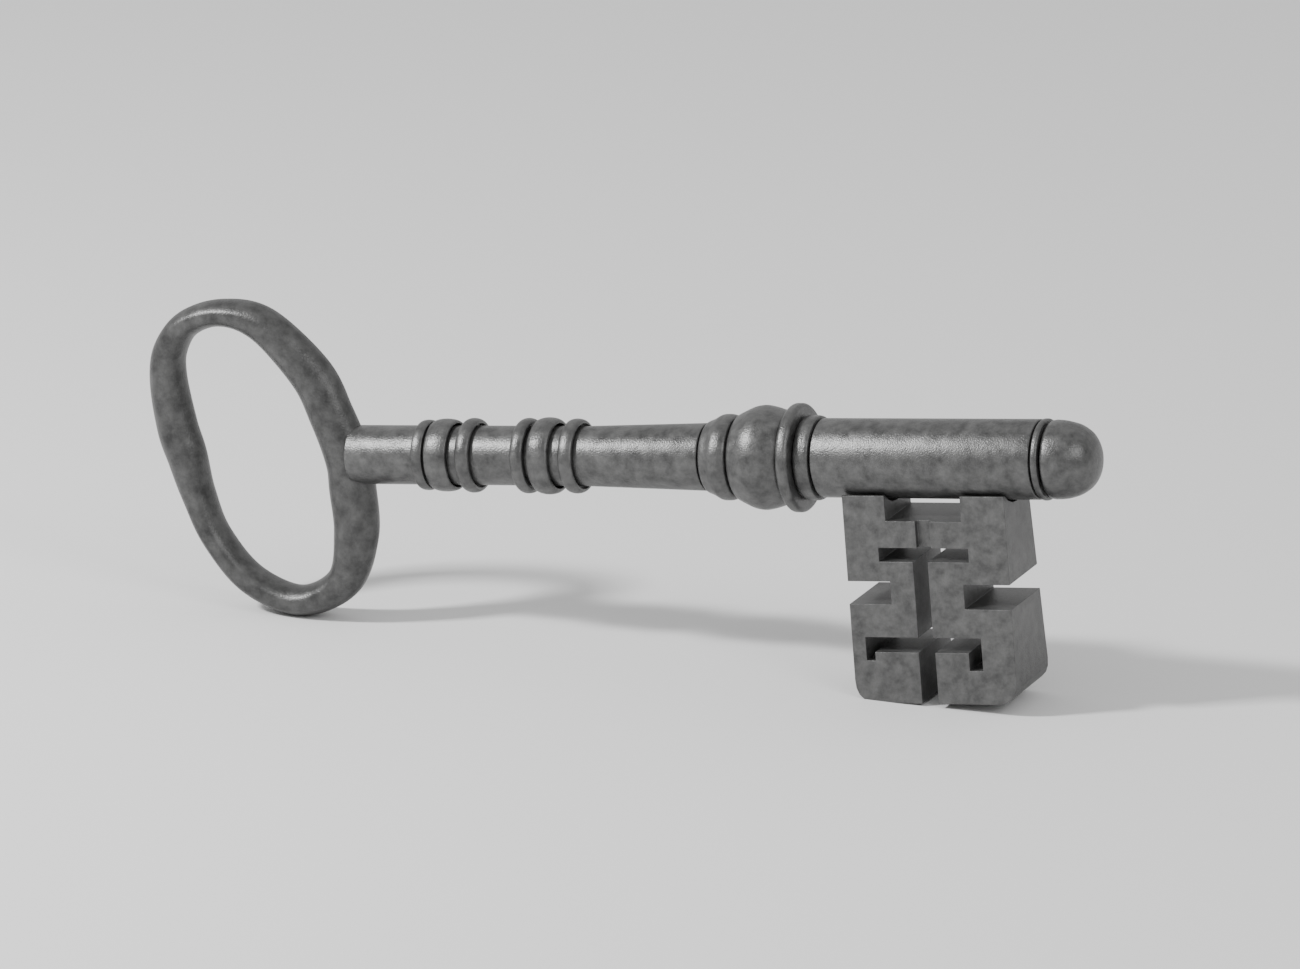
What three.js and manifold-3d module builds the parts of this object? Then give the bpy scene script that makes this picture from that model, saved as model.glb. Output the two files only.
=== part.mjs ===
// Pin key: ring bow, moulded shank, knop, thick barrel and a wedge-shaped warded bit.
// It stands on the foot of the bit and the bottom of the bow, so its own axis is pitched up towards the tip.
import * as THREE from "three";
import { mergeVertices } from "three/addons/utils/BufferGeometryUtils.js";
import Module from "manifold-3d";

const wasm = await Module();
wasm.setup();

// Driving dimensions, mm. In the key's own frame X runs along its axis to the tip, and the bit hangs towards -Z.
const SIDES = 24;
const GAP = 0.3;
const BARREL_R = 7;
const STUB_R = 3.5;
const BORE_R = STUB_R + GAP;
const SHANK_END = -121.4; // seated in the near limb of the bow
const BIT_LEFT = -27.8;
const BIT_RIGHT = 2;
const BIT_TOP = -7.1;
const BIT_FOOT = -41.5;
const BIT_THIN = 11.5;
const BIT_THICK = 16;
const BIT_CORNER = 4;
const FOOT_CUT = 0.4;
const BOW_HALF_Y = 3.8;
// Centre line of the bow: x, z and half the limb's width in the plane of the bow.
const BOW = [
  [-122.9, -0.8, 4.3], [-125.2, 6.9, 4.1], [-128.4, 14.6, 4], [-136.6, 23.4, 3.2], [-144.3, 25.6, 2.4],
  [-151.1, 23.7, 2.5], [-154.9, 19.3, 2.9], [-156.1, 13.8, 3.3], [-155.4, 5, 3.7], [-154.1, -0.6, 3.6],
  [-152.7, -7.5, 2.9], [-150, -15.3, 2.5], [-143.9, -23.1, 2.6], [-134.7, -26.7, 2.7], [-126.1, -22.9, 3.2],
  [-122.9, -14.4, 4.1], [-122.7, -6.1, 4.3],
];

// One closed surface facing out, with shared vertices and no empty triangles.
function closed(geometry) {
  const bare = geometry.clone();
  bare.deleteAttribute("normal");
  bare.deleteAttribute("uv");
  const merged = mergeVertices(bare, 1e-3);
  const p = merged.getAttribute("position");
  const old = merged.index.array;
  const index = [];
  const a = new THREE.Vector3(), b = new THREE.Vector3(), c = new THREE.Vector3();
  let volume = 0;
  for (let i = 0; i < old.length; i += 3) {
    const [u, v, w] = [old[i], old[i + 1], old[i + 2]];
    if (u === v || v === w || u === w) continue;
    index.push(u, v, w);
    a.fromBufferAttribute(p, u);
    b.fromBufferAttribute(p, v);
    c.fromBufferAttribute(p, w);
    volume += a.dot(b.cross(c));
  }
  if (volume < 0)
    for (let i = 0; i < index.length; i += 3) [index[i + 1], index[i + 2]] = [index[i + 2], index[i + 1]];
  merged.setIndex(index);
  return merged;
}
const solid = (geometry) => {
  const g = closed(geometry);
  return new wasm.Manifold(
    new wasm.Mesh({
      numProp: 3,
      vertProperties: new Float32Array(g.getAttribute("position").array),
      triVerts: new Uint32Array(g.index.array),
    }),
  );
};
function surface(body) {
  const m = body.getMesh();
  const g = new THREE.BufferGeometry();
  g.setAttribute("position", new THREE.BufferAttribute(new Float32Array(m.vertProperties), 3));
  g.setIndex(new THREE.BufferAttribute(new Uint32Array(m.triVerts), 1));
  return g;
}
// Turned about X from points of x and radius.
const turned = (points) =>
  closed(new THREE.LatheGeometry(points.map(([x, r]) => new THREE.Vector2(r, x)), SIDES).rotateZ(-Math.PI / 2));
// A turned ring with a plain bore.
const collar = (outer, bore) => {
  const first = [outer[0][0], bore];
  return turned([first, ...outer, [outer.at(-1)[0], bore], first]);
};
const bead = (centre, width, radius, bore) =>
  collar([[centre - width / 2, bore + 0.25], [centre - width / 5, radius], [centre + width / 5, radius], [centre + width / 2, bore + 0.25]], bore);
const block = (x0, x1, y0, y1, z0, z1) =>
  new THREE.BoxGeometry(x1 - x0, y1 - y0, z1 - z0).translate((x0 + x1) / 2, (y0 + y1) / 2, (z0 + z1) / 2);

// Bow: an oval section carried round a closed curve, cut to seat the shank's end.
function bowGeometry() {
  const line = new THREE.CatmullRomCurve3(BOW.map(([x, z]) => new THREE.Vector3(x, 0, z)), true);
  const width = new THREE.CatmullRomCurve3(BOW.map(([, , r], i) => new THREE.Vector3(r, i, 0)), true);
  const around = 44, across = 10, position = [], index = [];
  for (let i = 0; i < around; i++) {
    const at = line.getPoint(i / around), along = line.getTangent(i / around), half = width.getPoint(i / around).x;
    for (let j = 0; j < across; j++) {
      const t = (j / across) * 2 * Math.PI;
      position.push(at.x + along.z * half * Math.cos(t), BOW_HALF_Y * Math.sin(t), at.z - along.x * half * Math.cos(t));
      const a = i * across + j, b = ((i + 1) % around) * across + j;
      const c = i * across + ((j + 1) % across), d = ((i + 1) % around) * across + ((j + 1) % across);
      index.push(a, c, b, b, c, d);
    }
  }
  const g = new THREE.BufferGeometry();
  g.setAttribute("position", new THREE.BufferAttribute(new Float32Array(position), 3));
  g.setIndex(index);
  const seat = turned([[SHANK_END - GAP, 0], [SHANK_END - GAP, 5.7], [-60, 5.7], [-60, 0]]);
  return surface(solid(g).subtract(solid(seat)));
}

// Bit: a wedge that thickens towards the foot, with rounded lower corners and ward cuts.
function bitGeometry() {
  const face = new THREE.Shape();
  face.moveTo(BIT_LEFT, BIT_TOP + 2);
  face.lineTo(BIT_LEFT, BIT_FOOT + BIT_CORNER);
  face.quadraticCurveTo(BIT_LEFT, BIT_FOOT, BIT_LEFT + BIT_CORNER, BIT_FOOT);
  face.lineTo(BIT_RIGHT - BIT_CORNER, BIT_FOOT);
  face.quadraticCurveTo(BIT_RIGHT, BIT_FOOT, BIT_RIGHT, BIT_FOOT + BIT_CORNER);
  face.lineTo(BIT_RIGHT, BIT_TOP + 2);
  face.closePath();
  // Drawn in X and Y, then stood up: the sheet's Y becomes Z.
  const slab = new THREE.ExtrudeGeometry(face, { depth: 20, bevelEnabled: false, curveSegments: 5 }).translate(0, 0, -10).rotateX(Math.PI / 2);
  const end = new THREE.Shape();
  end.moveTo(-BIT_THIN / 2, -3);
  end.lineTo(-BIT_THICK / 2, BIT_FOOT - 1);
  end.lineTo(BIT_THICK / 2, BIT_FOOT - 1);
  end.lineTo(BIT_THIN / 2, -3);
  end.closePath();
  const wedge = new THREE.ExtrudeGeometry(end, { depth: 50, bevelEnabled: false }).translate(0, 0, -35).rotateX(Math.PI / 2).rotateZ(Math.PI / 2);
  let bit = solid(slab).intersect(solid(wedge));
  bit = bit.subtract(solid(turned([[-40, 0], [-40, BARREL_R + GAP], [20, BARREL_R + GAP], [20, 0]])));
  const wards = [
    [-20, -6.1, -9.5, -3], // under the barrel
    [-21.7, -5.2, -16.6, -14.2], // upper cross cut
    [-15.5, -12.8, -30.4, -16], // upright cut
    [-25.3, -4, -32.5, -29.9], // lower cross cut
    [-25.3, -23.7, -34, -32], // left hook
    [-6.4, -4, -35.6, -32], // right hook
    [-15.6, -12.6, -45, -32], // upright cut through the foot
    [-40, -20, -24.1, -20.1], // left side notch
    [-6.5, 12, -24.8, -20.5], // right side notch
  ];
  for (const [x0, x1, z0, z1] of wards) bit = bit.subtract(solid(block(x0, x1, -12, 12, z0, z1)));
  // A shallow groove on the front face between the two top cuts.
  bit = bit.subtract(solid(block(-14.6, -12, -12, -5.2, -14.6, -9)));
  return surface(bit);
}

const shapes = {
  shank: turned([[SHANK_END, 0], [SHANK_END, 5.2], [-77, 5.25], [-54.3, 5.9], [-54.3, STUB_R], [-27, STUB_R], [-27, 0]]),
  ring_a1: bead(-107.3, 2, 6.2, 5.6),
  ring_a2: bead(-103.8, 4.2, 6.4, 5.6),
  ring_a3: bead(-98.6, 2.6, 6.55, 5.6),
  ring_b1: bead(-88.2, 2.4, 6.6, 5.7),
  ring_b2: bead(-84.3, 4, 6.75, 5.7),
  ring_b3: bead(-79, 2.6, 6.55, 5.7),
  neck_collar: collar([[-54, 6.2], [-52.6, 6.7], [-51.2, 7.5], [-49.7, 7.5], [-48.6, 7.1]], BORE_R),
  knop: collar([[-48.3, 7.4], [-46.6, 8.2], [-45, 8.9], [-43.4, 9.15], [-41.6, 8.8], [-40, 8.3], [-38.6, 7.9]], BORE_R),
  flange: collar([[-38.3, 9], [-37.8, 9.45], [-36.6, 9.45], [-36.1, 9]], BORE_R),
  barrel_ferrule: collar([[-35.8, 7.2], [-35.4, 7.35], [-33.6, 7.35], [-33.1, 7.2]], BORE_R),
  barrel: turned([[-26.5, 0], [-26.5, BORE_R], [-32.8, BORE_R], [-32.8, 6.9], [7.4, BARREL_R], [7.4, BORE_R], [2, BORE_R], [2, 0]]),
  nose_ring: collar([[7.7, 6.85], [8, 7.05], [8.6, 7.05], [8.9, 6.85]], BORE_R),
  nose: turned([[2.4, 0], [2.4, STUB_R], [9.2, STUB_R], [9.2, 6.9], [12, 6.8], [14.4, 6.2], [16.4, 4.9], [17.6, 3], [17.9, 0]]),
  bow: bowGeometry(),
};
const bitOwn = bitGeometry();

// The pitch at which the bow and the filed foot of the bit reach one level.
const lowest = (g, angle) => new THREE.Box3().setFromBufferAttribute(g.clone().rotateY(angle).getAttribute("position")).min.z;
let low = -0.2, high = 0;
for (let i = 0; i < 50; i++) {
  const mid = (low + high) / 2;
  if (lowest(bitOwn, mid) + FOOT_CUT > lowest(shapes.bow, mid)) low = mid;
  else high = mid;
}
const PITCH = (low + high) / 2;
const key = new THREE.Group();
key.rotation.y = PITCH;
const finish = (color, roughness) => new THREE.MeshStandardMaterial({ color, roughness, metalness: 0.85 });
const looks = { bow: finish(0x6c6c6a, 0.5), nose: finish(0x80807d, 0.42), barrel: finish(0x7b7b79, 0.42) };
for (const [name, geometry] of Object.entries(shapes)) {
  const mesh = new THREE.Mesh(geometry, looks[name] ?? finish(0x767674, 0.45));
  mesh.name = name;
  key.add(mesh);
}
key.updateMatrixWorld(true);
const box = new THREE.Box3().setFromObject(key, true);
const shift = new THREE.Vector3(-(box.min.x + box.max.x) / 2, 0, -lowest(shapes.bow, PITCH));
key.position.copy(shift);

// The foot is filed level where it stands, so the bit is cut in the standing frame.
const standing = solid(bitOwn.clone().rotateY(PITCH).translate(shift.x, 0, shift.z));
const bit = new THREE.Mesh(surface(standing.intersect(solid(block(-300, 300, -60, 60, 0, 200)))), finish(0x706f6c, 0.48));
bit.name = "bit";

const root = new THREE.Group();
root.add(key, bit);
export default root;
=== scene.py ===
import math

import bmesh
import bpy
from mathutils import Matrix, Vector, noise


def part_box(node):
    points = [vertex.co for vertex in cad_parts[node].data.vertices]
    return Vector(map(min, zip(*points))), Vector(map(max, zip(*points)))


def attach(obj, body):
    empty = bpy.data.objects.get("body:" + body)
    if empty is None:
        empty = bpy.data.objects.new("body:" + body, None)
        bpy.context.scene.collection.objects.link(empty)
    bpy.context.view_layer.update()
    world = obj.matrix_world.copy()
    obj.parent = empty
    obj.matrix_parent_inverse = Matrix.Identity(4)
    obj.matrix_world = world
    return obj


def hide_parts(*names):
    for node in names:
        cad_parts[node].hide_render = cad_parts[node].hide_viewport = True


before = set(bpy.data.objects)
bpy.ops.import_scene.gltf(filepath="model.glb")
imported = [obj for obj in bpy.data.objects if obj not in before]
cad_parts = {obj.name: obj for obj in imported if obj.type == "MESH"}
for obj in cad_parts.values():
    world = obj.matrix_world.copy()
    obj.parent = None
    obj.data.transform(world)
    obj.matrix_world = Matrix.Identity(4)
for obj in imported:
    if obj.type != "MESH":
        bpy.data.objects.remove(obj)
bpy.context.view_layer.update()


# Standing pose of the key's own frame, metres and radians.
PITCH = -0.105758
SHIFT = (0.071078, 0.0, 0.043380)
STAND = Matrix.Translation(SHIFT) @ Matrix.Rotation(PITCH, 4, "Y")
SIDES = 144


def iron(name, dark, light, rough, scale):
    m = bpy.data.materials.new(name)
    m.use_nodes = True
    t = m.node_tree
    p = t.nodes["Principled BSDF"]
    at = t.nodes.new("ShaderNodeTexCoord")
    big = t.nodes.new("ShaderNodeTexNoise")
    big.inputs["Scale"].default_value = scale
    big.inputs["Detail"].default_value = 8
    big.inputs["Roughness"].default_value = 0.65
    fine = t.nodes.new("ShaderNodeTexNoise")
    fine.inputs["Scale"].default_value = scale * 9
    fine.inputs["Detail"].default_value = 5
    ramp = t.nodes.new("ShaderNodeValToRGB")
    ramp.color_ramp.elements[0].position = 0.3
    ramp.color_ramp.elements[1].position = 0.72
    ramp.color_ramp.elements[0].color = (dark, dark, dark, 1)
    ramp.color_ramp.elements[1].color = (light, light, light * 0.99, 1)
    spread = t.nodes.new("ShaderNodeMapRange")
    spread.inputs["To Min"].default_value = rough - 0.1
    spread.inputs["To Max"].default_value = rough + 0.14
    bump = t.nodes.new("ShaderNodeBump")
    bump.inputs["Strength"].default_value = 0.35
    bump.inputs["Distance"].default_value = 0.0002
    t.links.new(at.outputs["Object"], big.inputs["Vector"])
    t.links.new(at.outputs["Object"], fine.inputs["Vector"])
    t.links.new(big.outputs["Fac"], ramp.inputs["Fac"])
    t.links.new(ramp.outputs["Color"], p.inputs["Base Color"])
    t.links.new(big.outputs["Fac"], spread.inputs["Value"])
    t.links.new(spread.outputs["Result"], p.inputs["Roughness"])
    t.links.new(fine.outputs["Fac"], bump.inputs["Height"])
    t.links.new(bump.outputs["Normal"], p.inputs["Normal"])
    p.inputs["Metallic"].default_value = 0.7
    return m


TURNED = iron("turned_iron_look", 0.055, 0.15, 0.33, 420)
BOWED = iron("bow_iron_look", 0.04, 0.12, 0.37, 340)
FILED = iron("bit_iron_look", 0.065, 0.15, 0.42, 480)


def add(name, node, mesh, material):
    lo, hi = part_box(node)
    for v in mesh.vertices:
        v.co = Vector([min(max(v.co[i], lo[i]), hi[i]) for i in range(3)])
    mesh.materials.append(material)
    mesh.update()
    o = bpy.data.objects.new(name, mesh)
    bpy.context.scene.collection.objects.link(o)
    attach(o, "root")
    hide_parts(node)
    return o


def rounded(points, r, closed):
    """The profile with each corner cut back to an arc of about r millimetres."""
    out, n = [], len(points)
    for i, p in enumerate(points):
        if not closed and i in (0, n - 1):
            out.append(Vector(p))
            continue
        a, b, c = Vector(points[i - 1]), Vector(p), Vector(points[(i + 1) % n])
        k = min(r, (a - b).length * 0.4, (c - b).length * 0.4)
        s, e = b + (a - b).normalized() * k, b + (c - b).normalized() * k
        for j in range(4):
            u = j / 3
            out.append(s * (1 - u) ** 2 + b * 2 * u * (1 - u) + e * u * u)
    return out


def turned(name, points, r=0.25, closed=True, wobble=0.04):
    prof = rounded(points, r, closed)
    verts, faces, rows = [], [], []
    for x, rad in prof:
        if rad < 1e-6:
            rows.append([len(verts)])
            verts.append((x, 0, 0))
            continue
        row = []
        for j in range(SIDES):
            t = 2 * math.pi * j / SIDES
            d = Vector((x, rad * math.cos(t), rad * math.sin(t)))
            q = rad - wobble * (0.5 + 0.5 * noise.noise(d * 0.35))
            row.append(len(verts))
            verts.append((x, q * math.cos(t), q * math.sin(t)))
        rows.append(row)
    pairs = list(zip(rows, rows[1:])) + ([(rows[-1], rows[0])] if closed else [])
    for a, b in pairs:
        for j in range(SIDES):
            k = (j + 1) % SIDES
            if len(a) == 1 and len(b) == 1:
                continue
            if len(a) == 1:
                faces.append((a[0], b[k], b[j]))
            elif len(b) == 1:
                faces.append((a[j], a[k], b[0]))
            else:
                faces.append((a[j], a[k], b[k], b[j]))
    me = bpy.data.meshes.new(name + "_mesh")
    me.from_pydata([tuple(STAND @ (Vector(v) / 1000)) for v in verts], [], faces)
    tidy(me)
    return add(name + "_piece", name, me, TURNED)


def tidy(me):
    b = bmesh.new()
    b.from_mesh(me)
    bmesh.ops.recalc_face_normals(b, faces=b.faces)
    for f in b.faces:
        f.smooth = True
    b.to_mesh(me)
    b.free()


def ring(outer, bore):
    return [(outer[0][0], bore), *outer, (outer[-1][0], bore)]


def bead(c, w, r, bore):
    h = w / 2
    foot = bore + 0.25
    arc = [(c - h * math.cos(t), foot + (r - foot) * math.sin(t)) for t in [math.pi * k / 10 for k in range(11)]]
    return ring(arc, bore)


turned("shank", [(-121.4, 0), (-121.4, 5.2), (-77, 5.25), (-54.3, 5.9), (-54.3, 3.5), (-27, 3.5), (-27, 0)], closed=False)
for name, c, w, r, bore in [
    ("ring_a1", -107.3, 2, 6.2, 5.6), ("ring_a2", -103.8, 4.2, 6.4, 5.6), ("ring_a3", -98.6, 2.6, 6.55, 5.6),
    ("ring_b1", -88.2, 2.4, 6.6, 5.7), ("ring_b2", -84.3, 4, 6.75, 5.7), ("ring_b3", -79, 2.6, 6.55, 5.7),
]:
    turned(name, bead(c, w, r, bore), r=0.1)
turned("neck_collar", ring([(-54, 6.2), (-52.6, 6.7), (-51.2, 7.5), (-49.7, 7.5), (-48.6, 7.1)], 3.8), r=0.5)
turned("knop", ring([(-48.3, 7.4), (-46.6, 8.2), (-45, 8.9), (-43.4, 9.15), (-41.6, 8.8), (-40, 8.3), (-38.6, 7.9)], 3.8), r=0.8)
turned("flange", ring([(-38.3, 9), (-37.8, 9.45), (-36.6, 9.45), (-36.1, 9)], 3.8), r=0.25)
turned("barrel_ferrule", ring([(-35.8, 7.2), (-35.4, 7.35), (-33.6, 7.35), (-33.1, 7.2)], 3.8), r=0.2)
turned("barrel", [(-26.5, 0), (-26.5, 3.8), (-32.8, 3.8), (-32.8, 6.9), (7.4, 7), (7.4, 3.8), (2, 3.8), (2, 0)], closed=False, wobble=0.1)
turned("nose_ring", ring([(7.7, 6.85), (8, 7.05), (8.6, 7.05), (8.9, 6.85)], 3.8), r=0.15)
turned("nose", [(2.4, 0), (2.4, 3.5), (9.2, 3.5), (9.2, 6.9), (12, 6.8), (14.4, 6.2), (16.4, 4.9), (17.6, 3), (17.9, 0)], r=1.0, closed=False, wobble=0.1)

# Bow: x, z and half width in its plane, millimetres, round a closed curve.
BOW = [
    (-122.9, -0.8, 4.3), (-125.2, 6.9, 4.1), (-128.4, 14.6, 4), (-136.6, 23.4, 3.2), (-144.3, 25.6, 2.4),
    (-151.1, 23.7, 2.5), (-154.9, 19.3, 2.9), (-156.1, 13.8, 3.3), (-155.4, 5, 3.7), (-154.1, -0.6, 3.6),
    (-152.7, -7.5, 2.9), (-150, -15.3, 2.5), (-143.9, -23.1, 2.6), (-134.7, -26.7, 2.7), (-126.1, -22.9, 3.2),
    (-122.9, -14.4, 4.1), (-122.7, -6.1, 4.3),
]


def along(t):
    n = len(BOW)
    i = int(math.floor(t * n)) % n
    u = t * n - math.floor(t * n)
    a, b, c, d = (Vector(BOW[(i + k) % n]) for k in (-1, 0, 1, 2))
    return 0.5 * ((2 * b) + (c - a) * u + (2 * a - 5 * b + 4 * c - d) * u ** 2 + (3 * b - 3 * c + d - a) * u ** 3)


AROUND, ACROSS = 220, 32
verts, faces = [], []
for i in range(AROUND):
    p, q = along(i / AROUND), along((i + 0.25) / AROUND)
    t = Vector((q.x - p.x, q.y - p.y)).normalized()
    for j in range(ACROSS):
        s = 2 * math.pi * j / ACROSS
        w = p.z * (1 - 0.03 * (0.5 + 0.5 * noise.noise(Vector((p.x, p.y, 3 * s)) * 0.2)))
        verts.append((p.x + t.y * w * math.cos(s), 3.8 * math.sin(s), p.y - t.x * w * math.cos(s)))
        k, l, m = (i + 1) % AROUND, (j + 1) % ACROSS, ACROSS
        faces.append((i * m + j, i * m + l, k * m + l, k * m + j))
me = bpy.data.meshes.new("bow_mesh")
me.from_pydata([tuple(STAND @ (Vector(v) / 1000)) for v in verts], [], faces)
tidy(me)
add("bow_piece", "bow", me, BOWED)

# Bit: the same solid, with softened edges.
b = bmesh.new()
b.from_mesh(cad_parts["bit"].data)
bmesh.ops.remove_doubles(b, verts=b.verts, dist=1e-6)
bmesh.ops.dissolve_limit(b, angle_limit=math.radians(1), verts=b.verts, edges=b.edges)
me = bpy.data.meshes.new("bit_mesh")
b.to_mesh(me)
b.free()
bit = add("bit_piece", "bit", me, FILED)
soft = bit.modifiers.new("edges", "BEVEL")
soft.width = 0.0003
soft.segments = 2
soft.limit_method = "ANGLE"
soft.angle_limit = math.radians(35)

# Floor, lights and camera.
me = bpy.data.meshes.new("floor_mesh")
me.from_pydata([(-6, -6, 0), (6, -6, 0), (6, 12, 0), (-6, 12, 0)], [], [(0, 1, 2, 3)])
ground = bpy.data.materials.new("floor_look")
ground.use_nodes = True
ground.node_tree.nodes["Principled BSDF"].inputs["Base Color"].default_value = (0.72, 0.72, 0.72, 1)
ground.node_tree.nodes["Principled BSDF"].inputs["Roughness"].default_value = 0.9
me.materials.append(ground)
floor = bpy.data.objects.new("floor", me)
bpy.context.scene.collection.objects.link(floor)

world = bpy.data.worlds.new("studio")
world.use_nodes = True
world.node_tree.nodes["Background"].inputs["Color"].default_value = (1, 1, 1, 1)
world.node_tree.nodes["Background"].inputs["Strength"].default_value = 0.8
bpy.context.scene.world = world


def lamp(name, at, to, watts, size):
    d = bpy.data.lights.new(name, "AREA")
    d.energy, d.size = watts, size
    o = bpy.data.objects.new(name, d)
    o.location = at
    o.rotation_mode = "QUATERNION"
    o.rotation_quaternion = (Vector(to) - Vector(at)).to_track_quat("-Z", "Y")
    bpy.context.scene.collection.objects.link(o)


lamp("left", (-0.5, -0.35, 0.55), (0, 0, 0.02), 8.5, 0.09)
lamp("right", (0.6, -0.35, 0.5), (0, 0, 0.03), 1.6, 0.3)

AZ, EL, LENS = 0.391124, 0.291270, 308.506257
back = Vector((math.sin(AZ) * math.cos(EL), -math.cos(AZ) * math.cos(EL), math.sin(EL)))
cam = bpy.data.objects.new("camera", bpy.data.cameras.new("camera"))
cam.data.lens, cam.data.sensor_width = LENS, 36
cam.data.clip_start, cam.data.clip_end = 0.01, 50
cam.location = (0.710865, -1.709145, 0.585674)
cam.rotation_mode = "QUATERNION"
cam.rotation_quaternion = (-back).to_track_quat("-Z", "Y")
bpy.context.scene.collection.objects.link(cam)
bpy.context.scene.camera = cam
